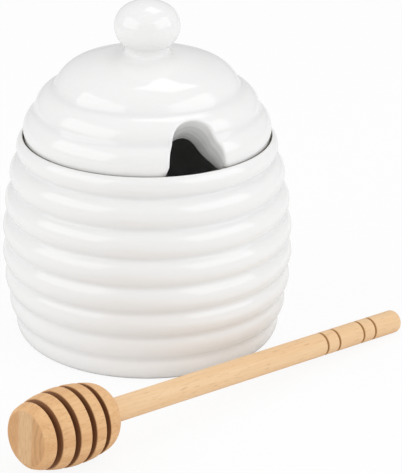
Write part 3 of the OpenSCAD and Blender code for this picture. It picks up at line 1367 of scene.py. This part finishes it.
    def _grid(self, points: np.ndarray, marks: dict[str, int]) -> tuple[np.ndarray, np.ndarray]:
        """Samples the section in every column, from the middle of the vault to the knob's top.

        Args:
            points: The whole half section.
            marks: Places of the rim, the widest point and the upper groove in the section.

        Returns:
            Radius, height and angle by row and column, and which columns the notch cuts off.
        """
        angles, cuts = self._columns()
        top = points[marks["groove"] :]
        length = polyline_lengths(top)[-1]
        top_rows = polyline_at(top, np.linspace(0, length, int(length / self.top_step))[1:])
        columns = [
            np.concatenate([
                self._rows(points, angle, cut, marks),
                np.column_stack([top_rows, np.full(len(top_rows), angle)]),
            ])
            for angle, cut in zip(angles, cuts)
        ]
        return np.stack(columns, axis=1), np.isfinite(cuts)

    def _mark_wall(self, obj: bpy.types.Object, rows: int, notched: np.ndarray) -> None:
        """Marks the wall of the cut, which carries its painted shade, and how far out each vertex lies along
        it.

        Args:
            obj: The lid.
            rows: Number of rows of vertices, with both ends on the axis.
            notched: Which columns the notch cuts off.
        """
        row = np.arange(rows)
        starts = np.clip((row - self.inner_rows + 2) / 2, 0, 1)
        # The wall mark, and the painted shade with it, fades out towards the cut's outer edge.
        ends = np.clip((self.inner_rows + self.wall_rows - row) / self.shade_fade, 0, 1)
        outwards = np.clip((row - self.inner_rows + 1) / self.wall_rows, 0, 1)
        wall, depth = np.outer(starts * ends, notched), np.outer(outwards, np.ones(len(notched)))
        for name, values in (("cut", wall), ("depth", depth)):
            set_mark(obj, name, np.concatenate([[0.0], values[1:-1].ravel(), [0.0]]))

    def build(self, glaze: bpy.types.Material, bare_seam_shade: bpy.types.Material) -> bpy.types.Object:
        """Builds the lid.

        Args:
            glaze: Material of the glazed faces.
            bare_seam_shade: Material of the edge that sits in the pot's lip, dark grey as painted shade for
                the seam.

        Returns:
            The object.
        """
        points = self.section()
        on_seat = (points[:, 1] < self.rim.seat_z + 0.02) & (points[:, 0] > self.hollow_r)
        marks = {
            "rim": int(np.where(on_seat)[0][-1]),
            "wide": int(points[:, 0].argmax()),
            "groove": int(np.linalg.norm(points - self.high_at, axis=1).argmin()),
        }
        grid, notched = self._grid(points, marks)
        inner = grid[1:-1]
        x, y = inner[..., 0] * np.cos(inner[..., 2]), inner[..., 0] * np.sin(inner[..., 2])
        body = np.stack([x, y, inner[..., 1]], axis=2).reshape(-1, 3)
        verts = np.concatenate([[[0, 0, grid[0, 0, 1]]], body, [[0, 0, grid[-1, 0, 1]]]])
        verts = self._round_cut(verts, points, marks["rim"])
        spin = np.array(Matrix.Rotation(math.radians(90 - self.notch.angle_deg), 3, "Z"))
        obj = new_object("lid_shell", verts @ spin * MM, shell_faces(len(inner), len(notched)))
        radial = np.hypot(verts[:, 0], verts[:, 1])
        set_mark(obj, "groove", groove_share(radial, verts[:, 2], (self.low_at, self.high_at)))
        self._mark_wall(obj, len(grid), notched)
        obj.data.materials.append(glaze)
        obj.data.materials.append(bare_seam_shade)
        bare_top, bare_in = (self.rim.lip_z - 0.35) * MM, (self.edge_radius - 1.0) * MM
        # The lid's edge takes the dark unglazed material, whose grey is painted shade for the seam.
        for face in obj.data.polygons:
            if face.center.z < bare_top and math.hypot(*face.center.xy) > bare_in:
                face.material_index = 1
        return obj


# Dipper


@dataclass
class Dipper:
    """The wooden dipper: a grooved head glued on a round handle, in millimetres."""

    barrel: Barrel
    head_r: float = 12.7
    head_len: float = 33.4
    widest_s: float = 16.4
    arc_r: float = 45.0
    shoulder_r: float = 7.3
    groove_first: float = 3.8
    groove_pitch: float = 6.4
    grooves: int = 4
    groove_w: float = 2.1
    floor_r: float = 7.5
    face_r: float = 8.7
    edge_s: float = 1.3
    face_soft: float = 0.5
    edge_soft: float = 0.7
    ridge_soft: float = 0.32
    floor_soft: float = 0.5
    collar_soft: float = 0.3
    glue_gap: float = 0.05
    length: float = 168.0
    handle_r: float = 4.0
    socket: float = 16.0
    tip_round: float = 1.6
    line_first: float = 13.5
    line_gap: float = 5.8
    line_pitch: float = 17.8
    line_pairs: int = 2
    line_w: float = 1.05
    line_depth: float = 0.4
    line_soft: float = 0.12
    line_floor_soft: float = 0.1
    columns: int = 96
    yaw_deg: float = 42.2
    gap: float = 6.0
    past: float = 62.4

    @property
    def curve_in(self) -> float:
        """Radius at which the barrel curve of the head has its centre."""
        return self.head_r - self.arc_r

    def tilt(self) -> float:
        """Finds how the dipper leans on its head's widest place and its handle's far end.

        Returns:
            The angle between the dipper and the table, in radians.
        """
        along = self.length - self.tip_round - self.widest_s
        aside = self.curve_in - self.handle_r + self.tip_round
        return math.asin((self.arc_r - self.tip_round) / math.hypot(along, aside)) + math.atan2(aside, along)

    def place(self) -> Matrix:
        """Finds where the dipper lies.

        Returns:
            The matrix that lays down a piece drawn upwards from the head's front face.
        """
        tilt = self.tilt()
        face_z = self.widest_s * math.sin(tilt) + self.curve_in * math.cos(tilt) + self.arc_r
        back = self.past - self.length * math.cos(tilt)
        aside = self.barrel.widest_r + self.gap + self.handle_r
        return (
            Matrix.Rotation(math.radians(self.yaw_deg), 4, "Z")
            @ Matrix.Translation(Vector((back, -aside, face_z)) * MM)
            @ Matrix.Rotation(math.pi / 2 + tilt, 4, "Y")
        )

    def head_section(self) -> tuple[np.ndarray, dict[str, np.ndarray]]:
        """Draws the head from the middle of its face to the collar round the handle.

        Returns:
            The points of the section, how burnt each is and how far it belongs to the face.
        """
        def radius(s: float) -> float:
            """Radius of the barrel curve at distance s from the face."""
            return self.curve_in + math.sqrt(self.arc_r**2 - (s - self.widest_s) ** 2)

        shoulder_s = self.head_len - self.shoulder_r
        reach = self.arc_r - self.shoulder_r
        shoulder_in = self.curve_in + math.sqrt(reach**2 - (shoulder_s - self.widest_s) ** 2)
        end_s = self.widest_s + (shoulder_s - self.widest_s) * self.arc_r / reach
        out = Outline((0.0, 0.0))
        out.line((self.face_r, 0.0), self.face_soft).line((radius(self.edge_s), self.edge_s), self.edge_soft)
        s = self.edge_s
        for i in range(self.grooves):
            low = self.groove_first + i * self.groove_pitch
            high = low + self.groove_w
            for z in np.linspace(s, low, 8)[1:]:
                out.line((radius(z), z))
            out.reaches[-1] = self.ridge_soft
            for place in (low + 0.2, high - 0.2):
                out.line((self.floor_r, place), self.floor_soft)
            out.line((radius(high), high), self.ridge_soft)
            s = high
        for z in np.linspace(s, end_s, 12)[1:]:
            out.line((radius(z), z))
        first = math.atan2(end_s - shoulder_s, radius(end_s) - shoulder_in)
        collar_r = self.handle_r + self.glue_gap
        last = math.acos(max((collar_r - shoulder_in) / self.shoulder_r, -1.0))
        out.arc((shoulder_in, shoulder_s), self.shoulder_r, first, last, self.collar_soft, 30)
        socket_s = self.head_len - self.socket
        out.line((collar_r, socket_s)).line((0.0, socket_s))
        points = out.points()
        along = points[:, 1]
        outer = np.arange(len(points)) < int(np.argmax(along))
        deep = np.array([radius(min(max(z, 0), end_s)) for z in along]) - points[:, 0]
        since_groove = (along - self.groove_first + 0.3) % self.groove_pitch
        in_groove = (since_groove < self.groove_w + 0.6) & (along > self.groove_first - 0.3)
        burn = np.clip((deep - 0.1) / 0.35, 0, 1) * in_groove * outer * (along < s + 0.3)
        face = np.clip((0.35 - along) / 0.25, 0, 1) * outer
        return points, {"burn": burn, "face": face}

    def handle_section(self) -> tuple[np.ndarray, dict[str, np.ndarray]]:
        """Draws the handle from the bottom of its hole to its rounded far end.

        Returns:
            The points of the section, how burnt each is and how far it belongs to a face.
        """
        foot = self.head_len - self.socket
        out = Outline((0.0, foot))
        out.line((self.handle_r, foot), self.collar_soft)
        places = sorted(
            self.length - self.line_first - pair * self.line_pitch - side * self.line_gap
            for pair in range(self.line_pairs)
            for side in (0, 1)
        )
        for s in places:
            edge_r, floor_r = self.handle_r, self.handle_r - self.line_depth
            out.line((edge_r, s - self.line_w / 2), self.line_soft)
            out.line((floor_r, s - self.line_w / 6), self.line_floor_soft)
            out.line((floor_r, s + self.line_w / 6), self.line_floor_soft)
            out.line((edge_r, s + self.line_w / 2), self.line_soft)
        out.line((self.handle_r, self.length - self.tip_round))
        tip = (self.handle_r - self.tip_round, self.length - self.tip_round)
        out.arc(tip, self.tip_round, 0.0, math.pi / 2, count=16).line((0.0, self.length))
        points = out.points()
        burn = np.zeros(len(points))
        for s in places:
            burn = np.maximum(burn, np.clip(2.2 - 2 * np.abs(points[:, 1] - s) / (self.line_w / 2), 0, 1))
        return points, {"burn": burn, "face": np.zeros(len(points))}

    def build(self, head_wood: bpy.types.Material, handle_wood: bpy.types.Material) -> list[bpy.types.Object]:
        """Builds the head and the handle where they lie.

        Args:
            head_wood: Material of the head.
            handle_wood: Material of the handle.

        Returns:
            The head and the handle.
        """
        made = []
        for name, (points, marks), material, spacing in (
            ("dipper_barrel", self.head_section(), head_wood, 0.2),
            ("dipper_rod", self.handle_section(), handle_wood, 0.15),
        ):
            obj = turned(name, points, self.columns, spacing, marks)
            obj.data.materials.append(material)
            set_mark(obj, "rest", np.array([v.co for v in obj.data.vertices]))
            obj.data.transform(self.place())
            made.append(obj)
        return made


# Studio


@dataclass
class Softbox:
    """A large flat lamp that looks at a point, with angles in degrees and lengths in metres."""

    name: str
    azimuth: float
    elevation: float
    distance: float
    width: float
    height: float
    power: float

    def build(self, target: Vector) -> None:
        """Adds the lamp.

        Args:
            target: The point that it looks at.
        """
        data = bpy.data.lights.new(self.name, "AREA")
        data.shape = "RECTANGLE"
        data.size, data.size_y = self.width, self.height
        data.energy = self.power
        lamp = bpy.data.objects.new(self.name, data)
        az, el = math.radians(self.azimuth), math.radians(self.elevation)
        way = Vector((math.sin(az) * math.cos(el), -math.cos(az) * math.cos(el), math.sin(el)))
        lamp.location = target + way * self.distance
        lamp.rotation_euler = (-way).to_track_quat("-Z", "Y").to_euler()
        bpy.context.scene.collection.objects.link(lamp)


@dataclass
class Studio:
    """Camera, floor, lamps and world."""

    elevation: float = 22.0
    camera_at: tuple[float, float, float] = (0.0, -0.8345, 0.3718)
    lens: float = 197.3
    shift: float = 0.1137
    world_level: float = 0.6
    floor_glow: float = 0.9
    floor_reach: float = 30.0
    floor_drop: float = 0.00002
    look_at: tuple[float, float, float] = (0.0, 0.0, 0.05)
    lamps: tuple[Softbox, ...] = (
        Softbox("lamp_left", -66.0, 28.0, 1.1, 1.25, 0.8, 4.6),
        Softbox("lamp_right", 64.0, 30.0, 1.1, 1.15, 0.8, 4.4),
        Softbox("lamp_top", 150.0, 68.0, 1.0, 0.5, 0.45, 1.2),
    )

    def camera(self) -> None:
        """Sets the camera to the photograph's viewing angle."""
        data = bpy.data.cameras.new("camera")
        data.lens = self.lens
        data.sensor_width = 36.0
        data.sensor_fit = "AUTO"
        data.shift_x = self.shift
        data.clip_start, data.clip_end = 0.01, 50.0
        camera = bpy.data.objects.new("camera", data)
        camera.location = self.camera_at
        camera.rotation_euler = (math.radians(90.0 - self.elevation), 0.0, 0.0)
        bpy.context.scene.collection.objects.link(camera)
        bpy.context.scene.camera = camera

    def floor(self) -> None:
        """Lays the white floor, which shows the shadow only faintly, as in the photograph."""
        corners = [(x * self.floor_reach, y * self.floor_reach, -self.floor_drop)
                   for x, y in ((-1, -1), (1, -1), (1, 1), (-1, 1))]
        mesh = bpy.data.meshes.new("floor")
        mesh.from_pydata(corners, [], [(0, 1, 2, 3)])
        floor = bpy.data.objects.new("floor", mesh)
        bpy.context.scene.collection.objects.link(floor)
        material = bpy.data.materials.new("floor")
        material.use_nodes = True
        material.node_tree.nodes.clear()
        nodes = Nodes(material.node_tree)
        matt = nodes.add("ShaderNodeBsdfDiffuse")
        matt.inputs["Color"].default_value = (0.9, 0.9, 0.9, 1.0)
        glow = nodes.add("ShaderNodeEmission")
        glow.inputs["Color"].default_value = (1.0, 1.0, 1.0, 1.0)
        path = nodes.add("ShaderNodeLightPath")
        share = nodes.maths("MULTIPLY", path.outputs["Is Camera Ray"], self.floor_glow)
        blend = nodes.add("ShaderNodeMixShader")
        nodes.link(share, blend.inputs[0])
        nodes.link(matt.outputs[0], blend.inputs[1])
        nodes.link(glow.outputs[0], blend.inputs[2])
        out = nodes.add("ShaderNodeOutputMaterial")
        nodes.link(blend.outputs[0], out.inputs[0])
        mesh.materials.append(material)

    def world(self) -> None:
        """Sets an even world that the camera sees as white."""
        world = bpy.data.worlds.new("studio")
        bpy.context.scene.world = world
        world.use_nodes = True
        world.node_tree.nodes.clear()
        nodes = Nodes(world.node_tree)
        path = nodes.add("ShaderNodeLightPath")
        level = nodes.maths("MAXIMUM", path.outputs["Is Camera Ray"], self.world_level)
        back = nodes.add("ShaderNodeBackground")
        back.inputs["Color"].default_value = (1.0, 1.0, 1.0, 1.0)
        nodes.link(level, back.inputs["Strength"])
        out = nodes.add("ShaderNodeOutputWorld")
        nodes.link(back.outputs[0], out.inputs[0])

    def build(self) -> None:
        """Builds everything that isn't part of the object."""
        bpy.context.scene.view_settings.view_transform = "Standard"
        self.camera()
        self.floor()
        self.world()
        for lamp in self.lamps:
            lamp.build(Vector(self.look_at))


# Assembly


def settle(obj: bpy.types.Object, body: str, node: str) -> None:
    """Gives a piece to its body and lets it stand for its CAD node.

    Args:
        obj: The piece.
        body: Name of the body that it moves with.
        node: Name of the CAD node that it replaces.
    """
    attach(obj, body)
    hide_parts(node)
    LOG.info("%s rides on %s in place of %s", obj.name, body, node)


def main() -> None:
    """Builds the set and its studio."""
    logging.basicConfig(level=logging.INFO, format="%(message)s")
    Studio().build()
    waves, grain, end_grain = waviness_group(), grain_group(), end_grain_group()
    # The unglazed material is dark grey: painted shade for the seam between lid and pot.
    glaze, bare_seam_shade = GlazedPorcelain().build(waves, streak_group()), BarePorcelainSeamShade().build(waves)
    head_wood, handle_wood = HEAD_WOOD.build(grain, end_grain), HANDLE_WOOD.build(grain, end_grain)
    barrel = Barrel()
    rim = Rim(barrel)
    settle(Pot(barrel, rim).build(glaze, bare_seam_shade), "pot", "pot")
    settle(Lid(rim, Notch()).build(glaze, bare_seam_shade), "lid", "lid")
    head, handle = Dipper(barrel).build(head_wood, handle_wood)
    settle(head, "dipper", "dipper_head")
    settle(handle, "dipper", "dipper_handle")


if __name__ == "__main__":
    main()
